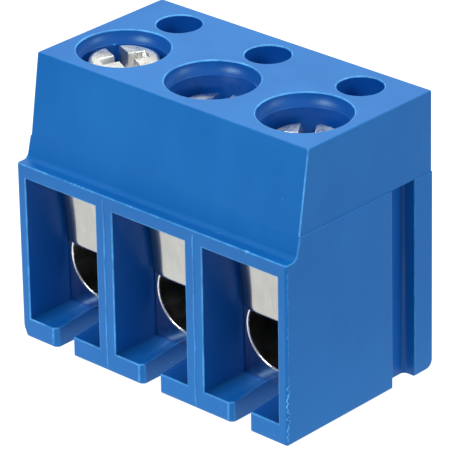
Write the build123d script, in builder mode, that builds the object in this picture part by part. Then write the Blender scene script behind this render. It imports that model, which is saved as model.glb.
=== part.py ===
from build123d import *
import os

# Three-pole screw terminal block for a printed circuit board, in millimetres.
# X runs along the row of poles, +Y runs from the wire entries to the back, +Z is up.
# The origin is the foot of the middle solder pin, on the face that sits on the board.

# ---- driving dimensions ----
pitch = 5.0                      # pole to pole, the board's hole spacing
pole_count = 3
front_to_pin = 4.1               # front face to the row of pins
block_depth = 9.0
block_height = 12.5

front = -front_to_pin
back = front + block_depth
block_width = pitch * pole_count
pole_x = [pitch * (i - (pole_count - 1) / 2) for i in range(pole_count)]

# ---- housing: outside ----
ledge_height = 8.0               # top of the wire-entry part
ledge_depth = 0.7
front_draft = 0.1                # how far the wire-entry part leans back, up to the ledge
parting_height = 8.95            # where the two halves of the mould meet
lean_depth = 0.95                # how far back the front stands at the parting line
top_front_depth = 1.55           # how far back it stands at the top
upper_inset = 0.05               # the upper part is drawn in at the sides and the back
ledge_round = 0.3
heel_round = 0.4                 # rear bottom corner
edge_round = 0.12
top_edge_round = 0.05
toe_chamfer = (0.25, 0.55)       # left front bottom corner, across and up

# ---- housing: wire entries and clamp chambers ----
entry_width = 4.08
entry_bottom, entry_top = 0.9, 7.4
throat_depth = 2.05              # the entry narrows down to the chamber here
chamber_width = 3.6
chamber_bottom, chamber_top = 1.1, 7.16
chamber_depth = 6.25             # front face to the back of the chamber
pin_slot_width = 1.02
pin_slot_end = 0.6               # past the pin's axis
pin_slot_chamfer = 0.2           # left front corner only
tab_pocket_width = 1.7
tab_pocket_depth = 7.35
tab_pocket_bottom, tab_pocket_top = 5.85, 6.9

# ---- housing: holes in the top ----
access_radius, access_lip_radius, access_lip_depth = 1.85, 1.97, 0.57
test_radius = 0.97
test_y = front + 7.43
test_bottom = 6.7                # just over the clamp body's tab

# ---- housing: joining groove (right) and rib (left) ----
groove_front, groove_back = front + 6.45, front + 7.83
groove_depth = 0.6
groove_top = 8.95
groove_round = 0.2
rib_gap = 0.08                   # all round, so that two blocks slide together
rib_bottom = 0.3

# ---- clamp body ----
clamp_front, clamp_back = front + 2.18, front + 6.2
clamp_width = 3.5
clamp_bottom, clamp_top = chamber_bottom, 7.1
wire_hole_radius, wire_hole_z = 1.55, 3.35
wire_hole_chamfer = 0.05
clamp_edge = 0.12
thread_hole_radius = 1.30
tab_width, tab_back = 1.5, front + 7.25
tab_bottom, tab_top = 5.95, 6.65

# ---- solder pin ----
pin_radius = 0.45                # in the board
pin_neck_radius = 0.49           # it widens to this inside the clamp body
pin_length = 1.5                 # below the board face
pin_tip_chamfer = 0.15
rivet_height = 0.14              # left standing inside the wire hole
rivet_chamfer = 0.1

# ---- wire guard, a bent leaf: its front face, as (depth, height) from the top down ----
leaf_line = [(1.70, 6.70), (1.80, 6.15), (1.90, 5.55), (1.97, 4.95), (2.0, 4.35), (2.0, 3.90), (4.95, 3.90)]
leaf_bends = [1.5, 1.5, 1.5, 0.8, 0.22]
leaf_thickness = 0.15
leaf_width = 3.44
shoulder_height = 4.13           # the full width ends here
bend_width, tongue_width = 2.76, 2.1
bend_reach, tongue_start = front + 2.1, front + 2.17
tongue_tip_round = 0.5

# ---- screw, M2.5 with a small cheese head ----
head_radius, head_height = 1.5, 1.7
head_chamfer = 0.18
shank_radius = 1.25
tip_chamfer = 0.35
slot_width, slot_depth = 0.6, 0.8
cross_width, cross_length, cross_depth = 0.62, 1.9, 1.0
screw_length = 7.11
tip_z = 4.11                     # a screw's tip, just above the tongue

# ---- how each pole stands, left to right: (screw lift, guard lift, angle of the slot) ----
pole_state = [(0.88, -0.12, 155.0), (0.14, 0.0, 111.0), (0.26, 0.08, 125.0)]


def box_between(low, high, mode):
    """A plain box from its lowest corner to its highest."""
    size = [b - a for a, b in zip(low, high)]
    middle = Vector(*[(a + b) / 2 for a, b in zip(low, high)])
    with Locations(middle):
        Box(*size, mode=mode)


# ---- housing ----
with BuildPart() as housing:
    # wire-entry part, with the ledge and the foot of the leaning face
    with BuildSketch(Plane.YZ.offset(-block_width / 2)):
        with BuildLine():
            Polyline(
                (front, 0),
                (front + front_draft, ledge_height),
                (front + ledge_depth, ledge_height),
                (front + lean_depth, parting_height),
                (back, parting_height),
                (back, 0),
                close=True,
            )
        make_face()
    extrude(amount=block_width)
    fillet(housing.edges().filter_by(Axis.X).group_by(Axis.Z)[0].sort_by(Axis.Y)[-1], heel_round)
    fillet(housing.faces().sort_by(Axis.Y)[0].edges().filter_by(Axis.X, reverse=True), edge_round)
    fillet(housing.faces().sort_by(Axis.Y)[-1].edges().filter_by(Axis.Z), edge_round)

    # screw part, leaning in towards the top and drawn in at the sides and the back
    with BuildSketch(Plane.YZ.offset(-block_width / 2 + upper_inset)):
        with BuildLine():
            Polyline(
                (front + lean_depth, parting_height),
                (front + top_front_depth, block_height),
                (back - upper_inset, block_height),
                (back - upper_inset, parting_height),
                close=True,
            )
        make_face()
    extrude(amount=block_width - 2 * upper_inset)
    top_face = housing.faces().sort_by(Axis.Z)[-1]
    fillet(top_face.edges(), top_edge_round)
    ledge_corner = (
        housing.edges()
        .filter_by(Axis.X)
        .filter_by_position(Axis.Z, ledge_height - 0.01, ledge_height + 0.01)
        .filter_by_position(Axis.Y, front + ledge_depth - 0.01, front + ledge_depth + 0.01)
    )
    fillet(ledge_corner, ledge_round)

    # the left front bottom corner is cut away
    with BuildSketch(Plane.XZ.offset(-front)):
        with BuildLine():
            Polyline(
                (-block_width / 2, 0),
                (-block_width / 2 + toe_chamfer[0], 0),
                (-block_width / 2, toe_chamfer[1]),
                close=True,
            )
        make_face()
    extrude(amount=-chamber_depth, mode=Mode.SUBTRACT)

    for x in pole_x:
        # funnel-shaped wire entry
        with BuildSketch(Plane.XZ.offset(-front)):
            with Locations((x, (entry_bottom + entry_top) / 2)):
                Rectangle(entry_width, entry_top - entry_bottom)
        with BuildSketch(Plane.XZ.offset(-front - throat_depth)):
            with Locations((x, (chamber_bottom + chamber_top) / 2)):
                Rectangle(chamber_width, chamber_top - chamber_bottom)
        loft(mode=Mode.SUBTRACT)
        # chamber that the clamp body is pushed into from the front
        box_between(
            (x - chamber_width / 2, front + throat_depth, chamber_bottom),
            (x + chamber_width / 2, front + chamber_depth, chamber_top),
            Mode.SUBTRACT,
        )
        # pocket for the clamp body's test tab
        box_between(
            (x - tab_pocket_width / 2, front + chamber_depth, tab_pocket_bottom),
            (x + tab_pocket_width / 2, front + tab_pocket_depth, tab_pocket_top),
            Mode.SUBTRACT,
        )
        # slot in the floor that the pin passes along
        with BuildSketch(Plane.XY):
            with BuildLine():
                half = pin_slot_width / 2
                Polyline(
                    (x - half - pin_slot_chamfer, front),
                    (x - half, front + pin_slot_chamfer),
                    (x - half, pin_slot_end),
                    (x + half, pin_slot_end),
                    (x + half, front),
                    close=True,
                )
            make_face()
        extrude(amount=chamber_bottom, mode=Mode.SUBTRACT)

    # screwdriver holes and test holes
    with Locations(*[(x, 0, block_height) for x in pole_x]):
        CounterBoreHole(
            access_radius, access_lip_radius, access_lip_depth, depth=block_height - chamber_top
        )
    with Locations(*[(x, test_y, block_height) for x in pole_x]):
        Hole(test_radius, depth=block_height - test_bottom)

    # joining groove in the right side
    with BuildSketch(Plane.XY):
        with Locations((block_width / 2 - groove_depth / 2, (groove_front + groove_back) / 2)):
            groove_outline = Rectangle(groove_depth, groove_back - groove_front)
        fillet(groove_outline.vertices().group_by(Axis.X)[0], groove_round)
    extrude(amount=groove_top, mode=Mode.SUBTRACT)

    # joining rib on the left side
    with BuildSketch(Plane.XY.offset(rib_bottom)):
        with Locations((-block_width / 2 - (groove_depth - rib_gap) / 2, (groove_front + groove_back) / 2)):
            rib_outline = Rectangle(groove_depth - rib_gap, groove_back - groove_front - 2 * rib_gap)
        fillet(rib_outline.vertices().group_by(Axis.X)[0], groove_round)
    extrude(amount=groove_top - rib_bottom - rib_gap)

housing.part.label = "housing"


# ---- clamp body: a block with a wire hole through it and a threaded hole from the top ----
def make_clamp(x):
    with BuildPart() as clamp:
        box_between(
            (x - clamp_width / 2, clamp_front, clamp_bottom),
            (x + clamp_width / 2, clamp_back, clamp_top),
            Mode.ADD,
        )
        chamfer(clamp.edges().filter_by(Axis.Y), clamp_edge)
        box_between(
            (x - tab_width / 2, clamp_back, tab_bottom),
            (x + tab_width / 2, tab_back, tab_top),
            Mode.ADD,
        )
        with Locations(Plane.XZ.offset(-clamp_front).shift_origin((x, clamp_front, wire_hole_z))):
            CounterSinkHole(
                wire_hole_radius,
                wire_hole_radius + wire_hole_chamfer,
                depth=clamp_back - clamp_front,
                counter_sink_angle=90,
            )
        with Locations((x, 0, clamp_top)):
            Hole(thread_hole_radius, depth=clamp_top - wire_hole_z)
        with Locations((x, 0, wire_hole_z)):
            Hole(pin_neck_radius, depth=wire_hole_z - clamp_bottom)
    return clamp.part


# ---- solder pin: pressed up into the clamp body and riveted over inside the wire hole ----
def make_pin(x):
    pin_top = wire_hole_z - wire_hole_radius + rivet_height
    with BuildPart() as pin:
        with BuildSketch(Plane.XZ.shift_origin((x, 0, 0))):
            with BuildLine():
                Polyline(
                    (0, -pin_length),
                    (pin_radius - pin_tip_chamfer, -pin_length),
                    (pin_radius, pin_tip_chamfer - pin_length),
                    (pin_radius, 0),
                    (pin_neck_radius, pin_top - rivet_chamfer),
                    (pin_neck_radius - rivet_chamfer, pin_top),
                    (0, pin_top),
                    close=True,
                )
            make_face()
        revolve(axis=Axis((x, 0, 0), (0, 0, 1)))
    return pin.part


# ---- wire guard: a leaf in front of the clamp body, with a tongue under the screw ----
def make_guard(x, lift):
    with BuildPart() as guard:
        with BuildSketch(Plane.YZ.offset(x - leaf_width / 2)):
            with BuildLine():
                front_face = FilletPolyline(
                    *[(front + depth, height + lift) for depth, height in leaf_line], radius=leaf_bends
                )
                offset(front_face, amount=leaf_thickness, side=Side.LEFT)
            make_face()
        extrude(amount=leaf_width)
        # below the shoulders the leaf narrows, and the tongue is narrower still
        with BuildSketch(Plane.XY.offset(shoulder_height + lift)):
            with Locations((x, front + chamber_depth / 2)):
                Rectangle(2 * leaf_width, 2 * chamber_depth)
            with BuildLine():
                Polyline(
                    (x - bend_width / 2, front),
                    (x - bend_width / 2, bend_reach),
                    (x - tongue_width / 2, tongue_start),
                    (x - tongue_width / 2, back),
                    (x + tongue_width / 2, back),
                    (x + tongue_width / 2, tongue_start),
                    (x + bend_width / 2, bend_reach),
                    (x + bend_width / 2, front),
                    close=True,
                )
            make_face(mode=Mode.SUBTRACT)
        extrude(amount=-shoulder_height / 2, mode=Mode.SUBTRACT)
        fillet(guard.faces().sort_by(Axis.Y)[-1].edges().filter_by(Axis.Z), tongue_tip_round)
    return guard.part


# ---- clamp screw: head with a slot right across it and a shorter cross ----
def make_screw(x, lift, slot_angle):
    bottom = tip_z + lift
    shoulder = bottom + screw_length - head_height
    top = bottom + screw_length
    with BuildPart() as screw:
        with BuildSketch(Plane.XY.offset(bottom)):
            with Locations((x, 0)):
                Circle(shank_radius)
        extrude(amount=shoulder - bottom)
        chamfer(screw.edges().group_by(Axis.Z)[0], tip_chamfer)
        with BuildSketch(Plane.XY.offset(shoulder)):
            with Locations((x, 0)):
                Circle(head_radius)
        extrude(amount=head_height)
        chamfer(screw.edges().group_by(Axis.Z)[-1], head_chamfer)
        with BuildSketch(Plane.XY.offset(top)):
            with Locations(Location((x, 0), slot_angle)):
                Rectangle(2 * head_radius + 1, slot_width)
        extrude(amount=-slot_depth, mode=Mode.SUBTRACT)
        with BuildSketch(Plane.XY.offset(top)):
            with Locations(Location((x, 0), slot_angle)):
                Rectangle(cross_width, cross_length)
                Rectangle(cross_length, cross_width)
        extrude(amount=-cross_depth, mode=Mode.SUBTRACT)
    return screw.part


# ---- write every piece ----
os.makedirs("parts", exist_ok=True)
export_step(housing.part, "parts/housing.step")

for number, (x, (screw_lift, guard_lift, slot_angle)) in enumerate(zip(pole_x, pole_state), start=1):
    pieces = {
        "clamp_body": make_clamp(x),
        "solder_pin": make_pin(x),
        "wire_guard": make_guard(x, guard_lift),
        "clamp_screw": make_screw(x, screw_lift, slot_angle),
    }
    for name, piece in pieces.items():
        piece.label = f"{name}_{number}"
        export_step(piece, f"parts/{piece.label}.step")
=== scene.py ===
import math

import bmesh
import bpy
import numpy as np
from mathutils import Matrix, Vector


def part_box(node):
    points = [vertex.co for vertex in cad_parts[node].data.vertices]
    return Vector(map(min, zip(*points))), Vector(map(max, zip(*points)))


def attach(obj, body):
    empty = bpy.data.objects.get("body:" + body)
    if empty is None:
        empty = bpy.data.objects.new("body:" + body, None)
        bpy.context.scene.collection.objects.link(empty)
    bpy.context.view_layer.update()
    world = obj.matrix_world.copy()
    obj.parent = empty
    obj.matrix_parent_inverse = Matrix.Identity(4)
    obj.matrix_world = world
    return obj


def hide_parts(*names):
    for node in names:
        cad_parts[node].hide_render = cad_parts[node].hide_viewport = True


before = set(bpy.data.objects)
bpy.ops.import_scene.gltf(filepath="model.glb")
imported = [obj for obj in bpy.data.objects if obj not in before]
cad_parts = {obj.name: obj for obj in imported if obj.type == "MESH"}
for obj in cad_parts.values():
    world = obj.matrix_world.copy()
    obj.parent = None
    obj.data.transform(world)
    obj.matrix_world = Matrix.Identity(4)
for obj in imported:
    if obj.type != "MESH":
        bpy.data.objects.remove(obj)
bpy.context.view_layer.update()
mm = 0.001
pitch = 5.0        # mm from pole to pole
poles = sorted(int(name.split("_")[-1]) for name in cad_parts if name.startswith("clamp_screw"))
scene = bpy.context.scene
print("frame loaded, poles", poles)


def gridObject(name, grid, caps):
    # grid is rows x columns x 3 in mm: columns run round a closed loop, and a cap point closes each end
    rows, columns = grid.shape[:2]
    index = np.arange(rows * columns).reshape(rows, columns)
    lower, upper = index[:-1], index[1:]
    quads = np.stack([lower, np.roll(lower, -1, 1), np.roll(upper, -1, 1), upper], axis=-1).reshape(-1, 4)
    points = grid.reshape(-1, 3)
    faces = quads.tolist()
    for cap, loop, turn in ((caps[0], index[0], 1), (caps[1], index[-1], -1)):
        tip = np.full(columns, len(points))
        fan = np.stack([np.roll(loop, -1), loop, tip][::turn], axis=-1)
        points = np.vstack([points, cap])
        faces += fan.tolist()
    mesh = bpy.data.meshes.new(name)
    mesh.from_pydata((points * mm).tolist(), [], faces)
    mesh.shade_smooth()
    mesh.validate()
    piece = bpy.data.objects.new(name, mesh)
    scene.collection.objects.link(piece)
    return piece


def smooth(value, start, end):
    # 0 before start, 1 after end, an S-curve in between
    t = np.clip((value - start) / (end - start), 0, 1)
    return t * t * (3 - 2 * t)


rounding = {
    "merge": 0.002,          # mm between points that are one
    "flat": 0.6,             # degrees between triangles that are one face
    "sharp": 28.0,           # degrees from which an outer edge is rounded over
    "segments": 3,
    "normalWeight": 60,
}


def mergedCopy(source, name, edgeWidth, edgeHighlightLevel=None, paintedShadeLevel=None):
    # the source's own shape, with doubles merged, flat triangles joined and sharp outer edges rounded over;
    # two face-corner attributes go with it: edge marks the rounded strips for a painted highlight, inner
    # marks the hollows for painted shade, each scaled by a function of the face centres in mm
    bm = bmesh.new()
    bm.from_mesh(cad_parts[source].data)
    bmesh.ops.scale(bm, vec=(1 / mm,) * 3, verts=bm.verts)
    bmesh.ops.remove_doubles(bm, verts=bm.verts, dist=rounding["merge"])
    bmesh.ops.dissolve_limit(bm, angle_limit=math.radians(rounding["flat"]), verts=bm.verts, edges=bm.edges)
    sharpest = math.radians(rounding["sharp"])
    sharp = [edge for edge in bm.edges
             if len(edge.link_faces) == 2 and edge.is_convex and edge.calc_face_angle(0) > sharpest]
    made = bmesh.ops.bevel(bm, geom=sharp, offset=edgeWidth, offset_type="OFFSET", profile=0.5,
                           segments=rounding["segments"], affect="EDGES", clamp_overlap=False)
    isStrip = np.zeros(len(bm.faces))
    bm.faces.index_update()
    isStrip[[face.index for face in made["faces"]]] = 1
    bmesh.ops.scale(bm, vec=(mm,) * 3, verts=bm.verts)
    mesh = bpy.data.meshes.new(name)
    bm.to_mesh(mesh)
    bm.free()
    mesh.shade_smooth()
    centres = np.zeros(len(mesh.polygons) * 3)
    mesh.polygons.foreach_get("center", centres)
    centres = centres.reshape(-1, 3) / mm
    corners = np.zeros(len(mesh.polygons), int)
    mesh.polygons.foreach_get("loop_total", corners)
    # the edge attribute carries a painted highlight, the inner attribute painted shade
    for label, level, base in (("edge", edgeHighlightLevel, isStrip), ("inner", paintedShadeLevel, np.ones(len(isStrip)))):
        values = base * (level(*centres.T) if level else label == "edge")
        layer = mesh.attributes.new(label, "FLOAT", "CORNER")
        layer.data.foreach_set("value", np.repeat(values, corners).astype(np.float32))
    piece = bpy.data.objects.new(name, mesh)
    scene.collection.objects.link(piece)
    weighted = piece.modifiers.new("faceNormals", "WEIGHTED_NORMAL")
    weighted.weight = rounding["normalWeight"]
    weighted.keep_sharp = False
    return piece


def newGroup(name, inputs, outputs):
    # an empty shader group with named sockets, and its two ends
    group = bpy.data.node_groups.new(name, "ShaderNodeTree")
    for label, kind, value in inputs:
        socket = group.interface.new_socket(name=label, in_out="INPUT", socket_type="NodeSocket" + kind)
        if value is not None:
            socket.default_value = value
    for label, kind in outputs:
        group.interface.new_socket(name=label, in_out="OUTPUT", socket_type="NodeSocket" + kind)
    return group, group.nodes.new("NodeGroupInput"), group.nodes.new("NodeGroupOutput")


def node(tree, kind, inputs=None, **settings):
    # a shader node whose inputs are links or fixed values
    made = tree.nodes.new("ShaderNode" + kind)
    for key, value in settings.items():
        setattr(made, key, value)
    for key, value in (inputs or {}).items():
        if isinstance(value, bpy.types.NodeSocket):
            tree.links.new(value, made.inputs[key])
        else:
            made.inputs[key].default_value = value
    return made


def mathNode(tree, operation, a, b=0.0, clamp=False):
    return node(tree, "Math", {0: a, 1: b}, operation=operation, use_clamp=clamp).outputs[0]


def mapRange(tree, value, low, high, toLow=0.0, toHigh=1.0):
    # from toLow at low to toHigh at high, an S-curve in between
    made = node(tree, "MapRange", {"Value": value, "From Min": low, "From Max": high,
                                   "To Min": toLow, "To Max": toHigh}, interpolation_type="SMOOTHSTEP")
    return made.outputs["Result"]


def mixColour(tree, factor, a, b):
    # colour a where the factor is 0, colour b where it is 1
    made = node(tree, "Mix", data_type="RGBA")
    for socket, value in (("Factor_Float", factor), ("A_Color", a), ("B_Color", b)):
        target = next(s for s in made.inputs if s.identifier == socket)
        if isinstance(value, bpy.types.NodeSocket):
            tree.links.new(value, target)
        else:
            target.default_value = value
    return next(s for s in made.outputs if s.identifier == "Result_Color")


def makeDriftGroup():
    # slow uneven tone over a moulding or a plated face: two noises, one stretched upright
    group, given, result = newGroup(
        "slowDrift",
        [("Vector", "Vector", None), ("Scale", "Float", 220.0)],
        [("Mask", "Float")])
    broad = node(group, "TexNoise", {"Vector": given.outputs["Vector"], "Scale": given.outputs["Scale"],
                                     "Detail": 3.0, "Roughness": 0.55})
    stretch = node(group, "Mapping", {"Vector": given.outputs["Vector"], "Scale": (1.0, 1.0, 0.25)})
    fine = node(group, "TexNoise", {"Vector": stretch.outputs[0], "Detail": 4.0, "Roughness": 0.6,
                                    "Scale": mathNode(group, "MULTIPLY", given.outputs["Scale"], 3.2)})
    both = mathNode(group, "ADD", mathNode(group, "MULTIPLY", broad.outputs["Fac"], 0.65),
                    mathNode(group, "MULTIPLY", fine.outputs["Fac"], 0.35))
    group.links.new(mapRange(group, both, 0.36, 0.64), result.inputs["Mask"])
    return group


def makeGrainGroup():
    # fine surface grain: a height for bump from two noises, and specks where a third one peaks
    group, given, result = newGroup(
        "fineGrain",
        [("Vector", "Vector", None), ("Scale", "Float", 9000.0), ("Speck Size", "Float", 5200.0),
         ("Speck Level", "Float", 0.74)],
        [("Height", "Float"), ("Specks", "Float")])
    grain = node(group, "TexNoise", {"Vector": given.outputs["Vector"], "Scale": given.outputs["Scale"],
                                     "Detail": 3.0, "Roughness": 0.6})
    waves = node(group, "TexNoise", {"Vector": given.outputs["Vector"], "Detail": 2.0,
                                     "Scale": mathNode(group, "MULTIPLY", given.outputs["Scale"], 0.09)})
    height = mathNode(group, "ADD", mathNode(group, "MULTIPLY", grain.outputs["Fac"], 0.35),
                      mathNode(group, "MULTIPLY", waves.outputs["Fac"], 0.65))
    dots = node(group, "TexNoise", {"Vector": given.outputs["Vector"], "Scale": given.outputs["Speck Size"],
                                    "Detail": 1.0})
    level = given.outputs["Speck Level"]
    specks = mathNode(group, "MULTIPLY", mathNode(group, "SUBTRACT", dots.outputs["Fac"], level), 25.0,
                      clamp=True)
    group.links.new(height, result.inputs["Height"])
    group.links.new(specks, result.inputs["Specks"])
    return group


def makeEdgeGroup():
    # painted highlight along rounded edges: the edge attribute, cut up by noise
    group, given, result = newGroup(
        "paintedEdgeHighlight",
        [("Vector", "Vector", None), ("Edge", "Float", 0.0), ("Scale", "Float", 1500.0),
         ("Least", "Float", 0.35), ("Most", "Float", 1.0)],
        [("Mask", "Float")])
    noise = node(group, "TexNoise", {"Vector": given.outputs["Vector"], "Scale": given.outputs["Scale"],
                                     "Detail": 5.0, "Roughness": 0.65})
    broken = node(group, "MapRange", {"Value": noise.outputs["Fac"], "From Min": 0.4, "From Max": 0.65,
                                      "To Min": given.outputs["Least"], "To Max": given.outputs["Most"]})
    mask = mathNode(group, "MULTIPLY", broken.outputs["Result"], given.outputs["Edge"], clamp=True)
    group.links.new(mask, result.inputs["Mask"])
    return group


def makeScratchGroup():
    # hairline scratches on plated metal: a noise stretched one way, kept where a broad noise is high
    group, given, result = newGroup(
        "hairlines",
        [("Vector", "Vector", None), ("Scale", "Float", 2600.0), ("Stretch", "Vector", (1.0, 1.0, 0.06))],
        [("Height", "Float"), ("Mask", "Float")])
    stretch = node(group, "Mapping", {"Vector": given.outputs["Vector"], "Scale": given.outputs["Stretch"]})
    lines = node(group, "TexNoise", {"Vector": stretch.outputs[0], "Scale": given.outputs["Scale"],
                                     "Detail": 5.0, "Roughness": 0.7})
    blotch = node(group, "TexNoise", {"Vector": given.outputs["Vector"], "Detail": 3.0,
                                      "Scale": mathNode(group, "MULTIPLY", given.outputs["Scale"], 0.3)})
    mask = mathNode(group, "MULTIPLY", mapRange(group, lines.outputs["Fac"], 0.5, 0.7),
                    mapRange(group, blotch.outputs["Fac"], 0.35, 0.65))
    group.links.new(lines.outputs["Fac"], result.inputs["Height"])
    group.links.new(mask, result.inputs["Mask"])
    return group


slowDrift, fineGrain = makeDriftGroup(), makeGrainGroup()
paintedEdgeHighlight, hairlines = makeEdgeGroup(), makeScratchGroup()


def useGroup(tree, group, inputs):
    return node(tree, "Group", inputs, node_tree=group)


def startMaterial(name):
    # a material with one Principled surface, and the place on the piece in metres
    material = bpy.data.materials.new(name)
    material.use_nodes = True
    tree = material.node_tree
    tree.nodes.clear()
    surface = tree.nodes.new("ShaderNodeBsdfPrincipled")
    output = tree.nodes.new("ShaderNodeOutputMaterial")
    tree.links.new(surface.outputs[0], output.inputs["Surface"])
    place = tree.nodes.new("ShaderNodeTexCoord").outputs["Object"]
    return material, tree, surface, place


plastic = {
    "deep": (0.0030, 0.128, 0.445, 1),
    "body": (0.0045, 0.146, 0.485, 1),
    # light blue of the painted edge highlight; the specks take it too
    "edge": (0.105, 0.440, 0.900, 1),
    "inner": (0.0015, 0.060, 0.330, 1),      # painted shade: in the hollows the blue is painted navy
    "driftScale": 170.0,
    "grainScale": 9000.0, "grainDepth": 0.012,
    "speckSize": 3600.0, "speckLevel": 0.80, "speckAmount": 0.7,
    "edgeScale": 1300.0, "edgeLeast": 0.30, "edgeMost": 1.0,
    "smoothest": 0.31, "roughest": 0.42,
    "refraction": 1.53, "shine": 0.36, "shineTint": (0.62, 0.95, 1.0, 1),
}


def makePlastic():
    # blue moulding: tone drifts between two blues, hollows go to navy as painted shade, rounded edges are
    # lighter as a painted highlight, and specks are lighter
    material, tree, surface, place = startMaterial("bluePolyamide")
    drift = useGroup(tree, slowDrift, {"Vector": place, "Scale": plastic["driftScale"]})
    grain = useGroup(tree, fineGrain, {"Vector": place, "Scale": plastic["grainScale"],
                                       "Speck Size": plastic["speckSize"],
                                       "Speck Level": plastic["speckLevel"]})
    edge = node(tree, "Attribute", attribute_name="edge").outputs["Fac"]
    inner = node(tree, "Attribute", attribute_name="inner").outputs["Fac"]
    light = useGroup(tree, paintedEdgeHighlight, {"Vector": place, "Edge": edge, "Scale": plastic["edgeScale"],
                                       "Least": plastic["edgeLeast"], "Most": plastic["edgeMost"]})
    specks = mathNode(tree, "MULTIPLY", grain.outputs["Specks"], plastic["speckAmount"])
    colour = mixColour(tree, drift.outputs["Mask"], plastic["deep"], plastic["body"])
    # painted shade: the hollows go to navy
    colour = mixColour(tree, inner, colour, plastic["inner"])
    # painted highlight: the rounded edges go light blue
    colour = mixColour(tree, light.outputs["Mask"], colour, plastic["edge"])
    colour = mixColour(tree, specks, colour, plastic["edge"])
    tree.links.new(colour, surface.inputs["Base Color"])
    rough = node(tree, "MapRange", {"Value": drift.outputs["Mask"], "To Min": plastic["smoothest"],
                                    "To Max": plastic["roughest"]})
    tree.links.new(rough.outputs["Result"], surface.inputs["Roughness"])
    bump = node(tree, "Bump", {"Strength": 1.0, "Distance": plastic["grainDepth"] * mm,
                               "Height": grain.outputs["Height"]})
    tree.links.new(bump.outputs[0], surface.inputs["Normal"])
    surface.inputs["IOR"].default_value = plastic["refraction"]
    surface.inputs["Specular IOR Level"].default_value = plastic["shine"]
    surface.inputs["Specular Tint"].default_value = plastic["shineTint"]
    return material


metalWearAndHighlight = {
    "hairlines": 0.6,                        # how much the hairlines lighten the metal
    "speckSize": 4000.0, "speckLevel": 0.72,
    # painted highlight along the rounded edges
    "edgeScale": 2500.0, "edgeLeast": 0.5, "edgeMost": 1.0,
}


def makeMetal(name, look):
    # plated metal: tone drifts between two colours, hairlines lighten it, rounded edges are smoother as
    # burnished wear and lighter as a painted highlight
    material, tree, surface, place = startMaterial(name)
    drift = useGroup(tree, slowDrift, {"Vector": place, "Scale": look["driftScale"]})
    turned = node(tree, "Mapping", {"Vector": place, "Rotation": (0.0, 0.0, look.get("lineTurn", 0.0))})
    lines = useGroup(tree, hairlines, {"Vector": turned.outputs[0], "Scale": look["lineScale"],
                                       "Stretch": look["stretch"]})
    grain = useGroup(tree, fineGrain, {"Vector": place, "Scale": look["grainScale"],
                                       "Speck Size": metalWearAndHighlight["speckSize"],
                                       "Speck Level": metalWearAndHighlight["speckLevel"]})
    edge = node(tree, "Attribute", attribute_name="edge").outputs["Fac"]
    light = useGroup(tree, paintedEdgeHighlight, {"Vector": place, "Edge": edge, "Scale": metalWearAndHighlight["edgeScale"],
                                       "Least": metalWearAndHighlight["edgeLeast"], "Most": metalWearAndHighlight["edgeMost"]})
    lightened = mathNode(tree, "MULTIPLY", lines.outputs["Mask"], metalWearAndHighlight["hairlines"])
    colour = mixColour(tree, drift.outputs["Mask"], look["dark"], look["light"])
    colour = mixColour(tree, lightened, colour, look["bright"])
    # painted highlight: the rounded edges go bright
    colour = mixColour(tree, light.outputs["Mask"], colour, look["bright"])
    tree.links.new(colour, surface.inputs["Base Color"])
    worn = mathNode(tree, "MAXIMUM", light.outputs["Mask"], grain.outputs["Specks"])
    rough = node(tree, "MapRange", {"Value": mathNode(tree, "SUBTRACT", drift.outputs["Mask"], worn),
                                    "From Min": -1.0, "To Min": look["smoothest"],
                                    "To Max": look["roughest"]})
    tree.links.new(rough.outputs["Result"], surface.inputs["Roughness"])
    height = mathNode(tree, "ADD", mathNode(tree, "MULTIPLY", lines.outputs["Height"], look["lineDepth"]),
                      mathNode(tree, "MULTIPLY", grain.outputs["Height"], look["grainDepth"]))
    if "fold" in look:
        # a shallow fold up each leaf, near its left edge: a hyperbola across the leaf, the same at every pole
        foldAt, breadth, slope = look["fold"]
        across = mathNode(tree, "DIVIDE", node(tree, "SeparateXYZ", {0: place}).outputs["X"], pitch * mm)
        off = mathNode(tree, "SUBTRACT", across, mathNode(tree, "ROUND", across))
        off = mathNode(tree, "DIVIDE", mathNode(tree, "SUBTRACT", off, foldAt / pitch), breadth / pitch)
        curve = mathNode(tree, "SQRT", mathNode(tree, "ADD", mathNode(tree, "MULTIPLY", off, off), 1.0))
        height = mathNode(tree, "SUBTRACT", height, mathNode(tree, "MULTIPLY", curve, slope * breadth))
    bump = node(tree, "Bump", {"Strength": 1.0, "Distance": mm, "Height": height})
    tree.links.new(bump.outputs[0], surface.inputs["Normal"])
    surface.inputs["Metallic"].default_value = 1.0
    return material


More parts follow.
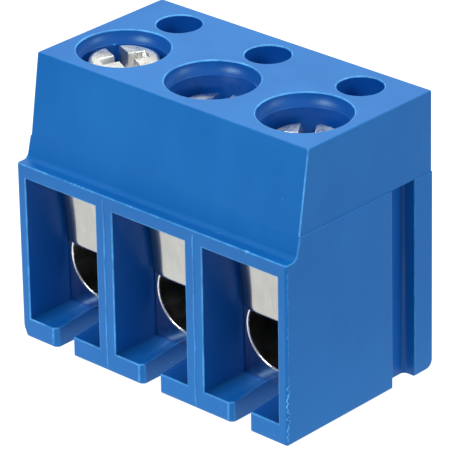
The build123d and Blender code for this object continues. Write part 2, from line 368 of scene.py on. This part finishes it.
metalLooks = {
    "brightNickel": {
        # its tones are tinted blue: nickel's own grey plus a painted reflection of the blue moulding
        "dark": (0.36, 0.45, 0.58, 1), "light": (0.56, 0.66, 0.78, 1), "bright": (0.9, 0.9, 0.9, 1),
        "driftScale": 600.0, "smoothest": 0.05, "roughest": 0.20,
        "lineScale": 2600.0, "stretch": (1.0, 1.0, 0.1), "lineDepth": 0.003,
        "grainScale": 5000.0, "grainDepth": 0.018,
    },
    "springSteel": {
        "dark": (0.47, 0.47, 0.45, 1), "light": (0.53, 0.53, 0.51, 1), "bright": (0.62, 0.62, 0.61, 1),
        "driftScale": 500.0, "smoothest": 0.07, "roughest": 0.15,
        "lineScale": 3000.0, "stretch": (1.0, 1.0, 0.05), "lineDepth": 0.0012,
        "grainScale": 4000.0, "grainDepth": 0.003,
        "fold": (-1.22, 0.12, 0.21),         # place from the leaf's middle and breadth in mm, slope
    },
    "zincPlate": {
        "dark": (0.78, 0.77, 0.75, 1), "light": (0.92, 0.91, 0.88, 1), "bright": (0.98, 0.98, 0.97, 1),
        "driftScale": 900.0, "smoothest": 0.10, "roughest": 0.34,
        "lineScale": 1500.0, "stretch": (1.0, 0.07, 0.07), "lineDepth": 0.040, "lineTurn": -0.76,
        "grainScale": 3500.0, "grainDepth": 0.030,
    },
    "tinPlate": {
        "dark": (0.50, 0.49, 0.46, 1), "light": (0.64, 0.62, 0.57, 1), "bright": (0.8, 0.78, 0.72, 1),
        "driftScale": 800.0, "smoothest": 0.18, "roughest": 0.38,
        "lineScale": 2400.0, "stretch": (1.0, 1.0, 0.15), "lineDepth": 0.006,
        "grainScale": 4200.0, "grainDepth": 0.012,
    },
    # painted shade: a dark metal for the inside of the wire hole
    "shadedBoreMetal": {
        "dark": (0.17, 0.16, 0.13, 1), "light": (0.30, 0.28, 0.23, 1), "bright": (0.6, 0.56, 0.48, 1),
        "driftScale": 700.0, "smoothest": 0.25, "roughest": 0.45,
        "lineScale": 2400.0, "stretch": (1.0, 0.1, 1.0), "lineDepth": 0.008,
        "grainScale": 4200.0, "grainDepth": 0.012,
    },
}
bluePlastic = makePlastic()
metals = {name: makeMetal(name, look) for name, look in metalLooks.items()}
print("materials made")


housingLook = {
    "edge": 0.05,                            # how far the moulding's outer edges are rounded over
    "rim": 1.0, "corner": 0.75, "other": 0.35, "lip": 0.05, "bottom": 0.2,      # how strong each edge's painted highlight is
    "near": 0.2,                             # how close to the top or the underside counts as its edge
    "lipReach": 4.0,                         # how far down the screwdriver holes' faint painted highlight goes
    "cornerReach": 0.16,                     # how far behind the front its corners go
    "sideReach": (0.1, 1.6),                 # how far in from the right, and behind the front, its edges go
    "parting": (8.95, 0.25),                 # height of the parting line, and half the band that gets no painted highlight
}
openings = {
    "entry": (1.96, 0.9, 7.5),               # half width, bottom and top of a wire entry
    "entryDepth": (0.3, 6.4),                # behind the front
    "hole": 1.96,                            # radius of a screwdriver hole
    "testHole": (3.33, 0.96),                # place behind the pins, and radius
    "groove": (2.35, 3.73, 0.6),             # front, back and depth
    "margin": 0.06,
    # how strong the painted shade is in each hollow, and how much more it gets low in the screw holes
    "dark": {"entry": 0.75, "hole": 0.72, "holeFoot": 0.15, "test": 0.9, "groove": 0.6, "sill": 0.4},
}


def housingEdgeHighlights(x, y, z):
    # painted highlight: bright on the top's rims and on the front corners, faint on the lip inside the holes
    # and underneath
    low, high = (np.array(c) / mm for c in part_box("housing"))
    near, look = housingLook["near"], housingLook
    fromAxis = np.hypot(x - pitch * np.round(x / pitch), y)
    inHole = (fromAxis < openings["hole"] + 0.02) & (z < high[2] - near) & (z > high[2] - look["lipReach"])
    across, behind = look["sideReach"]
    parting, band = look["parting"]
    level = np.full(len(x), look["other"])
    level = np.where(z > high[2] - near, look["rim"], level)
    level = np.where((y < low[1] + look["cornerReach"]) & (z > near), look["corner"], level)
    level = np.where((x > high[0] - across) & (y < low[1] + behind) & (z > near), look["rim"], level)
    level = np.where(inHole, look["lip"], level)
    plain = (y > low[1] + 0.3) & (z < high[2] - 0.3) & (np.abs(z - parting) < band)
    level = np.where(plain, 0.0, level)
    return np.where(z < near, look["bottom"], level)


def housingPaintedShade(x, y, z):
    # painted shade: deeper blue in the wire entries, the screw holes, the test holes, the groove and along
    # the sill, darker again low in the screw holes
    low, high = (np.array(c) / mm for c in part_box("housing"))
    pole = x - pitch * np.round(x / pitch)
    margin, dark = openings["margin"], openings["dark"]
    half, floor, ceiling = openings["entry"]
    start, end = openings["entryDepth"]
    inFront = (y > low[1] + start) & (y < low[1] + end)
    entry = (np.abs(pole) < half + 2 * margin) & inFront & (z > floor + 0.1) & (z < ceiling)
    sill = (np.abs(pole) < half) & (np.abs(z - floor - 0.1) < 0.13) & inFront & ~entry
    belowTop = z < high[2] - 0.1
    hole = (np.hypot(pole, y) < openings["hole"] + margin) & belowTop & (z > ceiling)
    testY, testRadius = openings["testHole"]
    test = (np.hypot(pole, y - testY) < testRadius + margin) & belowTop & (z > ceiling - 1)
    front, back, depth = openings["groove"]
    groove = (x > high[0] - depth - 0.02) & (x < high[0] - 0.02) & (y > front + 0.02) & (y < back - 0.01)
    # painted shade, darker again low in the screw holes
    holePaintedShade = dark["hole"] + dark["holeFoot"] * (z < high[2] - 0.6)
    return (dark["entry"] * entry + holePaintedShade * hole + dark["test"] * test + dark["groove"] * groove
            + dark["sill"] * sill)


# edge levels give the painted highlight, inner levels the painted shade
housing = mergedCopy("housing", "housing_moulding", housingLook["edge"],
                     edgeHighlightLevel=housingEdgeHighlights, paintedShadeLevel=housingPaintedShade)
housing.data.materials.append(bluePlastic)
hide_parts("housing")
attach(housing, "block")
print("housing made,", len(housing.data.polygons), "faces")


def finishBead(piece, level):
    # a bead of the housing's own plastic; level is its painted highlight, point by point
    layer = piece.data.attributes.new("edge", "FLOAT", "POINT")
    layer.data.foreach_set("value", np.broadcast_to(level, len(piece.data.vertices)).astype(np.float32))
    piece.data.materials.append(bluePlastic)
    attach(piece, "block")


witness = {
    "halfWidth": 0.045, "height": 0.03, "bottom": 0.06, "top": 7.9, "draft": 0.0125,
    # light is the bead's painted highlight
    "light": 0.55, "taper": 0.2,
}


def makeWitness(number, x):
    # fine raised line up the middle of a divider, left by the mould: half an ellipse carried up the face
    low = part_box("housing")[0].y / mm
    turn = np.linspace(0, 2 * np.pi, 24, endpoint=False)
    z = np.linspace(witness["bottom"], witness["top"], 60)
    face = low + witness["draft"] * z
    wander = 0.012 * np.sin(2.1 * z + number) + 0.006 * np.sin(7.3 * z)
    taper = witness["taper"]
    ends = smooth(z, z[0] - 0.01, z[0] + taper) * (1 - smooth(z, z[-1] - taper, z[-1] + 0.01))
    grid = np.stack([x + wander[:, None] + witness["halfWidth"] * np.cos(turn)[None, :] * ends[:, None],
                     face[:, None] - witness["height"] * np.sin(turn)[None, :] * ends[:, None],
                     np.repeat(z[:, None], len(turn), 1)], -1)
    piece = gridObject(f"witness_line_{number}", grid[:, ::-1], caps=(grid[0].mean(0), grid[-1].mean(0)))
    finishBead(piece, witness["light"])


flash = {
    "inset": 0.09, "bottom": 0.15, "top": 7.7, "halfWidth": 0.035, "height": 0.025, "draft": 0.0125,
    "ragged": 3.1, "swing": 0.10,            # below this height the line wanders by so much
    # light is the flash's painted highlight, full at the foot
    "light": 0.35, "taper": 0.1,
}


def makeFlash():
    # ragged line of flash up the right front corner: a thin bead whose path wanders, most near the foot; its
    # painted highlight is strongest near the foot
    low, high = (np.array(c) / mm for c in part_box("housing"))
    turn = np.linspace(0, 2 * np.pi, 16, endpoint=False)
    z = np.linspace(flash["bottom"], flash["top"], 420)
    foot = 1 - smooth(z, flash["ragged"] - 0.8, flash["ragged"])
    wave = np.sin(9.0 * z + 2.0 * np.sin(5.0 * z)) + 0.6 * np.sin(23.0 * z + 1.0)
    wander = wave * (0.015 + flash["swing"] * foot * 0.5)
    breadth = flash["halfWidth"] * (0.6 + 0.5 * foot + 0.35 * np.sin(17.0 * z + 0.5))
    taper = flash["taper"]
    ends = smooth(z, z[0] - 0.01, z[0] + taper) * (1 - smooth(z, z[-1] - taper, z[-1] + 0.01))
    y = low[1] + flash["inset"] + flash["draft"] * z + wander
    grid = np.stack([high[0] - 0.01 + flash["height"] * np.cos(turn)[None, :] * ends[:, None],
                     y[:, None] + (breadth * ends)[:, None] * np.sin(turn)[None, :],
                     np.repeat(z[:, None], len(turn), 1)], -1)
    piece = gridObject("corner_flash", grid, caps=(grid[0].mean(0), grid[-1].mean(0)))
    # painted highlight, strongest at the foot
    level = np.repeat(flash["light"] + (1 - flash["light"]) * foot, len(turn))
    finishBead(piece, np.concatenate([level, [1, flash["light"]]]))


burrs = {
    "spots": [(-4.65, 0.05), (-4.35, 0.035), (-4.1, 0.06), (-3.85, 0.045), (-3.65, 0.05), (-1.15, 0.035),
              (-0.9, 0.03), (1.2, 0.04), (5.45, 0.065), (4.9, 0.03)],     # place along the ledge, and size
    "stretch": 1.8, "behind": 0.12, "height": 7.985, "uneven": 0.2,
}


def makeBurrs():
    # burrs torn along the ledge's edge: small lengthened beads, each a sphere formula stretched along X
    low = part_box("housing")[0].y / mm
    turn = np.linspace(0, 2 * np.pi, 14, endpoint=False)
    tilt = np.linspace(0.25, np.pi - 0.25, 8)
    for number, (x, size) in enumerate(burrs["spots"], start=1):
        reach = burrs["stretch"] * size * np.cos(tilt)
        ring = size * np.sin(tilt) * (1 + burrs["uneven"] * np.sin(5 * tilt + number))
        grid = np.stack([np.repeat((x - reach)[:, None], len(turn), 1),
                         low + burrs["behind"] + ring[:, None] * np.cos(turn)[None, :],
                         burrs["height"] + ring[:, None] * np.sin(turn)[None, :]], -1)
        # each burr gets the full painted highlight
        finishBead(gridObject(f"ledge_burr_{number}", grid, caps=(grid[0].mean(0), grid[-1].mean(0))), 1.0)


for number in poles[:-1]:
    makeWitness(number, pitch * (number - 1.5))
makeFlash()
makeBurrs()
print("witness lines, flash and burrs made")


clamp = {
    "edge": 0.035,
    "holeRadius": 1.55, "holeHeight": 3.35,
    "rim": 0.14, "rimDepth": 0.12,           # the ring round the wire hole's front, given a brighter metal as a painted highlight
    "facing": 0.97,                          # a face turned to the front more than this is the flat front
}


def makeClamp(number):
    # the block's own shape: nickel outside, a dark metal in the wire hole as painted shade, a brighter metal
    # on the ring round the hole's front as a painted highlight
    name = f"clamp_body_{number}"
    piece = mergedCopy(name, f"clamp_block_{number}", clamp["edge"])
    low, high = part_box(name)
    mesh = piece.data
    for material in ("brightNickel", "shadedBoreMetal", "zincPlate"):
        mesh.materials.append(metals[material])
    centres = np.zeros(len(mesh.polygons) * 3, np.float32)
    normals = np.zeros(len(mesh.polygons) * 3, np.float32)
    mesh.polygons.foreach_get("center", centres)
    mesh.polygons.foreach_get("normal", normals)
    centres = centres.reshape(-1, 3) / mm
    middle = (low.x + high.x) / 2 / mm
    fromAxis = np.hypot(centres[:, 0] - middle, centres[:, 2] - clamp["holeHeight"])
    behind = centres[:, 1] > low.y / mm + clamp["rimDepth"]
    # painted shade: the inside of the wire hole takes the dark metal
    inside = behind & (fromAxis < clamp["holeRadius"] + 0.02)
    tilted = np.abs(normals.reshape(-1, 3)[:, 1]) < clamp["facing"]
    # painted highlight: the ring round the hole's front takes the brighter metal
    rim = tilted & ~behind & (fromAxis < clamp["holeRadius"] + clamp["rim"])
    mesh.polygons.foreach_set("material_index", (inside * 1 + rim * 2).astype(np.int32))
    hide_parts(name)
    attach(piece, "block")


pinShape = {
    "radius": 0.45, "neck": 0.49, "tip": 0.15, "tipRound": 0.02, "dome": 0.1,
    "boardFace": 0.0, "uneven": 0.012,
}


def makePin(number):
    # outline turned about the pin's axis: tip chamfer, straight shank, domed rivet head
    name = f"solder_pin_{number}"
    low, high = (np.array(c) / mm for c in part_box(name))
    turn = np.linspace(0, 2 * np.pi, 64, endpoint=False)
    dome = np.linspace(0, np.pi / 2, 10)
    radius, neck, tip = pinShape["radius"], pinShape["neck"], pinShape["tip"]
    tipRound = pinShape["tipRound"]
    outlineR = np.concatenate([[0.1, radius - tip, radius - tipRound, radius, radius, neck],
                               neck - pinShape["dome"] * (1 - np.cos(dome))])
    outlineZ = np.concatenate([[low[2], low[2], low[2] + tip - tipRound, low[2] + tip, pinShape["boardFace"],
                                high[2] - pinShape["dome"] - 0.01],
                               high[2] - pinShape["dome"] * (1 - np.sin(dome))])
    head = smooth(outlineZ, high[2] - 0.2, high[2])[:, None]
    ring = outlineR[:, None] * (1 + pinShape["uneven"] * np.sin(3 * turn + number)[None, :] * head)
    middle = (low[0] + high[0]) / 2
    grid = np.stack([middle + ring * np.cos(turn), ring * np.sin(turn),
                     np.repeat(outlineZ[:, None], len(turn), 1)], axis=-1)
    piece = gridObject(f"pin_{number}", grid, caps=([middle, 0, low[2]], [middle, 0, high[2]]))
    piece.data.materials.append(metals["tinPlate"])
    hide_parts(name)
    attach(piece, "block")


leaf = {
    "thickness": 0.15,
    "webWidth": 3.36, "bendWidth": 2.76, "tongueWidth": 2.1,
    "bow": 0.30,          # how far the web leans forward at its top
    "dish": 0.03,         # how far the web's side edges stand forward of its middle
    "bendRadius": 0.22,
    "shoulder": 0.23,     # above the tongue's underside
    "tipRound": 0.5,
    "dishBand": (0.10, 0.42),      # above the tongue, where the dish begins
    "narrowBand": (0.1, 0.19),     # behind the bend, where the leaf narrows to the tongue
    "closer": 1.25,                # how the rings crowd towards the bend
    "square": (0.25, 0.55),        # powers that make the section's round a flat bar, across and through
}


def makeGuard(number):
    # a rounded flat section carried along the leaf's middle line: bowed web, tight bend, tongue
    name = f"wire_guard_{number}"
    low, high = (np.array(c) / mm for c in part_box(name))
    half = leaf["thickness"] / 2
    bendY = low[1] + leaf["bow"]
    bendStart = low[2] + leaf["bendRadius"]
    down = 1 - np.linspace(0, 1, 70) ** leaf["closer"]
    webZ = bendStart + (high[2] - bendStart) * down
    webY = bendY - leaf["bow"] * down ** 2
    turn = np.linspace(0, np.pi / 2, 12)[1:]
    centreY, centreZ = bendY + leaf["bendRadius"], bendStart
    arcY = centreY - leaf["bendRadius"] * np.cos(turn)
    arcZ = centreZ - leaf["bendRadius"] * np.sin(turn)
    tongueY = np.linspace(centreY, high[1], 60)[1:]
    lineY = np.concatenate([webY, arcY, tongueY])
    lineZ = np.concatenate([webZ, arcZ, np.full(len(tongueY), low[2])])
    tangent = np.stack([np.gradient(lineY), np.gradient(lineZ)], -1)
    tangent /= np.linalg.norm(tangent, axis=1)[:, None]
    away = np.stack([-tangent[:, 1], tangent[:, 0]], -1)     # from the front face into the metal
    lineY, lineZ = lineY + half * away[:, 0], lineZ + half * away[:, 1]
    fall = smooth(low[2] + leaf["shoulder"] - lineZ, -0.02, 0.02)
    narrow = smooth(lineY, bendY + leaf["narrowBand"][0], bendY + leaf["narrowBand"][1])
    width = leaf["webWidth"] - (leaf["webWidth"] - leaf["bendWidth"]) * fall
    width = width - (leaf["bendWidth"] - leaf["tongueWidth"]) * narrow * fall
    tip = np.clip((lineY - (high[1] - leaf["tipRound"])) / leaf["tipRound"], 0, 1)
    width = width - 2 * leaf["tipRound"] * (1 - np.sqrt(np.clip(1 - tip ** 2, 0, 1)))
    # section: a flat bar with rounded long edges, given as angle round it
    angle = np.linspace(0, 2 * np.pi, 48, endpoint=False)
    across = np.sign(np.cos(angle)) * np.abs(np.cos(angle)) ** leaf["square"][0]
    through = np.sign(np.sin(angle)) * np.abs(np.sin(angle)) ** leaf["square"][1]
    ends = np.minimum(1, np.minimum(np.arange(len(lineY)), np.arange(len(lineY))[::-1]) / 2.0 + 0.45)
    middle = (low[0] + high[0]) / 2
    x = middle + across[None, :] * width[:, None] / 2
    rise = through[None, :] * half * ends[:, None]
    dished = leaf["dish"] * smooth(lineZ - low[2], *leaf["dishBand"])[:, None] * across[None, :] ** 2
    y = lineY[:, None] + rise * away[:, 0][:, None] - dished
    z = lineZ[:, None] + rise * away[:, 1][:, None]
    grid = np.stack([x, y, z], -1)
    caps = (grid[0].mean(0), grid[-1].mean(0))
    piece = gridObject(f"guard_leaf_{number}", grid[:, ::-1], caps=caps)
    piece.data.materials.append(metals["springSteel"])
    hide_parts(name)
    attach(piece, f"guard_{number}")


screwShape = {
    "headRadius": 1.5, "headHeight": 1.7, "crown": 0.06, "headRound": 0.16,
    "slotWidth": 0.6, "slotDepth": 0.75, "crossWidth": 0.46, "crossLength": 1.95, "crossDepth": 1.0,
    "threadRadius": 1.22, "threadDepth": 0.11, "pitch": 0.45, "tip": 0.35,
    "slotSide": (0.05, 0.03), "crossSide": (0.02, 0.10),     # inside and outside of each wall's slope
    "crossSlope": (1.25, 0.62),              # depth at the middle, and its loss at the arm's end
    "uneven": 0.008, "tipTaper": 0.32,
    "angles": (155.0, 111.0, 125.0),         # which way each screw's slot points
}


def makeScrew(number):
    # a grid of rings: over the crowned head with its recess cut as a height, down the side, along the thread
    name = f"clamp_screw_{number}"
    shape = screwShape
    low, high = (np.array(c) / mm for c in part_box(name))
    middle, top, bottom = (low[0] + high[0]) / 2, high[2], low[2]
    turn = np.linspace(0, 2 * np.pi, 288, endpoint=False)
    corner = shape["headRound"]
    reach = np.linspace(0.012, shape["headRadius"] - corner, 92)
    bend = np.linspace(0, np.pi / 2, 9)[1:]
    headR = np.concatenate([reach, reach[-1] + corner * np.sin(bend)])
    headZ = np.concatenate([top - shape["crown"] * (reach / shape["headRadius"]) ** 2,
                            top - shape["crown"] - corner * (1 - np.cos(bend))])
    r, t = headR[:, None], turn[None, :] - math.radians(shape["angles"][number - 1])
    along, across = r * np.cos(t), r * np.sin(t)
    inner, outer = shape["slotSide"]
    slot = shape["slotDepth"] * (1 - smooth(np.abs(across), shape["slotWidth"] / 2 - inner,
                                            shape["slotWidth"] / 2 + outer))
    # the cross tapers: its arms run up to the surface at their ends
    arms = []
    inner, outer = shape["crossSide"]
    middleDepth, loss = shape["crossSlope"]
    for a, b in ((along, across), (across, along)):
        side = 1 - smooth(np.abs(b), shape["crossWidth"] / 2 - inner, shape["crossWidth"] / 2 + outer)
        slope = np.clip(middleDepth - np.abs(a) / (shape["crossLength"] / 2) * loss, 0, 1)
        arms.append(shape["crossDepth"] * side * slope * (np.abs(a) < shape["crossLength"] / 2 + 0.04))
    recess = np.maximum(np.maximum(*arms), slot)
    unevenness = np.sin(5 * turn + 3 * number)[None, :] * (r / shape["headRadius"]) ** 2
    heights = headZ[:, None] - recess + shape["uneven"] * unevenness
    rings = np.repeat(headR[:, None], len(turn), 1)
    # side of the head, down through the slot's open ends, then the underside
    under = top - shape["headHeight"]
    sideZ = heights[-1][None, :] + (under + 0.05 - heights[-1][None, :]) * np.linspace(0, 1, 12)[1:, None]
    sideR = np.full_like(sideZ, shape["headRadius"])
    foot = np.array([[shape["headRadius"] - 0.03, under], [shape["threadRadius"], under]])
    footR, footZ = (np.repeat(foot[:, i:i + 1], len(turn), 1) for i in (0, 1))
    # thread: the radius follows a rounded triangle wave that climbs one pitch a turn, and fades at both ends
    threadZ = np.linspace(under - 0.02, bottom, 118)[:, None]
    phase = threadZ / shape["pitch"] - turn[None, :] / (2 * np.pi)
    wave = np.abs(2 * (phase - np.floor(phase)) - 1)
    fade = smooth(threadZ, bottom, bottom + shape["tip"]) * (1 - smooth(threadZ, under - 0.5, under - 0.2))
    threadR = shape["threadRadius"] - shape["threadDepth"] * (1 - smooth(wave, 0.1, 0.9)) * fade
    threadR = threadR - shape["tipTaper"] * (1 - smooth(threadZ, bottom, bottom + shape["tip"])) ** 2
    radius = np.vstack([rings, sideR, footR, threadR])
    height = np.vstack([heights, sideZ, footZ, np.repeat(threadZ, len(turn), 1)])
    grid = np.stack([middle + radius * np.cos(turn), radius * np.sin(turn), height], -1)
    caps = ([middle, 0, heights[0].mean()], [middle, 0, bottom])
    piece = gridObject(f"screw_{number}", grid[:, ::-1], caps=caps)
    piece.data.materials.append(metals["zincPlate"])
    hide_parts(name)
    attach(piece, f"screw_{number}")


for number in poles:
    makeClamp(number)
    makePin(number)
    makeGuard(number)
    makeScrew(number)
print("metal pieces made")


stage = {
    "floorDrop": 1.5, "floorSize": 3000.0,
    "near": 0.90, "far": 0.08,       # glow of the table close by, and far off in front on the left
    "start": 20.0, "end": 46.0,      # where it fades, in mm from the block
    "right": 0.42,                   # what is left of the glow in front on the right
    "rightBand": (5.0, 13.0),        # where it falls to that
    "paper": (0.15, 0.15, 0.15, 1), "roughness": 0.9,
}


def makeStage():
    # the table shines white; away from the eye it dims far off in front on the left, and on the right
    size = stage["floorSize"]
    mesh = bpy.data.meshes.new("floor")
    corners = np.array([(-size, -size), (size, -size), (size, size), (-size, size)])
    points = np.column_stack([corners, np.full(4, -stage["floorDrop"])]) * mm
    mesh.from_pydata(points.tolist(), [], [(0, 1, 2, 3)])
    floor = bpy.data.objects.new("floor", mesh)
    scene.collection.objects.link(floor)
    material, tree, surface, place = startMaterial("palePaper")
    parts = node(tree, "SeparateXYZ", {0: place})
    ahead = mathNode(tree, "ADD", mathNode(tree, "MULTIPLY", parts.outputs["Y"], -0.8 / mm),
                     mathNode(tree, "MULTIPLY", parts.outputs["X"], -0.6 / mm))
    fade = mapRange(tree, ahead, stage["start"], stage["end"], stage["near"], stage["far"])
    rightwards = mathNode(tree, "MULTIPLY", parts.outputs["X"], 1 / mm)
    aside = mapRange(tree, rightwards, *stage["rightBand"], 1.0, stage["right"])
    seen = node(tree, "LightPath").outputs["Is Camera Ray"]
    glow = mathNode(tree, "MAXIMUM", mathNode(tree, "MULTIPLY", fade, aside), seen)
    surface.inputs["Base Color"].default_value = stage["paper"]
    surface.inputs["Roughness"].default_value = stage["roughness"]
    surface.inputs["Emission Color"].default_value = (1, 1, 1, 1)
    tree.links.new(glow, surface.inputs["Emission Strength"])
    mesh.materials.append(material)


blockMiddle = 6.0      # height that the lamps are turned to
lamps = {      # size in m, watts, azimuth (0 in front, 90 to the right), elevation, distance in m, colour
    "keyLamp": (0.12, 0.80, -8, 38, 0.35, (1, 1, 1)),
    "sideLamp": (0.12, 0.27, 112, 20, 0.35, (1, 1, 1)),
    "topLamp": (0.16, 0.14, 150, 68, 0.35, (0.85, 1.0, 0.75)),
    "backLamp": (0.04, 0.30, -136, 54, 0.30, (0.98, 1.0, 0.90)),
    "leftLamp": (0.03, 0.06, -100, 25, 0.30, (1, 1, 1)),
}


def makeLamp(name, size, watts, azimuth, elevation, distance, colour):
    # a square lamp turned towards the block's middle
    lamp = bpy.data.lights.new(name, "AREA")
    lamp.shape, lamp.size, lamp.energy, lamp.color = "SQUARE", size, watts, colour
    holder = bpy.data.objects.new(name, lamp)
    scene.collection.objects.link(holder)
    a, e = math.radians(azimuth), math.radians(elevation)
    away = Vector((math.sin(a) * math.cos(e), -math.cos(a) * math.cos(e), math.sin(e)))
    target = Vector((0, 0, blockMiddle * mm))
    holder.location = target + away * distance
    holder.rotation_mode = "QUATERNION"
    holder.rotation_quaternion = away.to_track_quat("Z", "Y")


studio = {
    "overhead": 0.8, "overheadBand": (0.45, 0.95),
    "back": 0.88, "front": 0.12, "turnBand": (-0.55, 0.45),
}


def makeWorld():
    # studio light: bright overhead, pale behind and on the right, dim in front on the left;
    # it is plain white to the eye
    world = bpy.data.worlds.new("studio")
    world.use_nodes = True
    tree = world.node_tree
    tree.nodes.clear()
    direction = tree.nodes.new("ShaderNodeTexCoord").outputs["Generated"]
    parts = node(tree, "SeparateXYZ", {0: direction})
    x, y, z = (parts.outputs[i] for i in range(3))
    frontness = mathNode(tree, "ADD", mathNode(tree, "MULTIPLY", y, -0.8),
                         mathNode(tree, "MULTIPLY", x, -0.6))
    around = mapRange(tree, frontness, *studio["turnBand"], studio["back"], studio["front"])
    level = mapRange(tree, z, *studio["overheadBand"])
    lit = node(tree, "MapRange", {"Value": level, "To Min": around, "To Max": studio["overhead"]})
    seen = node(tree, "LightPath").outputs["Is Camera Ray"]
    strength = mathNode(tree, "MAXIMUM", lit.outputs["Result"], seen)
    back = node(tree, "Background", {"Color": (1, 1, 1, 1), "Strength": strength})
    output = tree.nodes.new("ShaderNodeOutputWorld")
    tree.links.new(back.outputs[0], output.inputs["Surface"])
    scene.world = world


view = {
    "azimuth": 43.4916, "elevation": 25.8288, "roll": -1.4331,
    "distance": 156.290, "target": (0.1728, 0.3376, 5.9108), "lens": 304.4,
}


def makeCamera():
    # the camera stands off the target along azimuth and elevation, then rolls about its own axis
    a, e, roll = (math.radians(view[k]) for k in ("azimuth", "elevation", "roll"))
    back = Vector((math.sin(a) * math.cos(e), -math.cos(a) * math.cos(e), math.sin(e)))
    right = (-back).cross(Vector((0, 0, 1))).normalized()
    up = back.cross(right)
    tilted = math.cos(roll) * right + math.sin(roll) * up
    upright = math.cos(roll) * up - math.sin(roll) * right
    camera = bpy.data.objects.new("camera", bpy.data.cameras.new("camera"))
    scene.collection.objects.link(camera)
    place = (Vector(view["target"]) + back * view["distance"]) * mm
    turned = Matrix((tilted, upright, back)).transposed().to_4x4()
    camera.matrix_world = Matrix.Translation(place) @ turned
    camera.data.sensor_width = 36.0
    camera.data.lens = view["lens"]
    camera.data.clip_start, camera.data.clip_end = 0.01, 20.0
    scene.camera = camera


makeStage()
makeWorld()
for name, settings in lamps.items():
    makeLamp(name, *settings)
makeCamera()
scene.view_settings.view_transform = "Standard"
print("stage, lights and camera made")
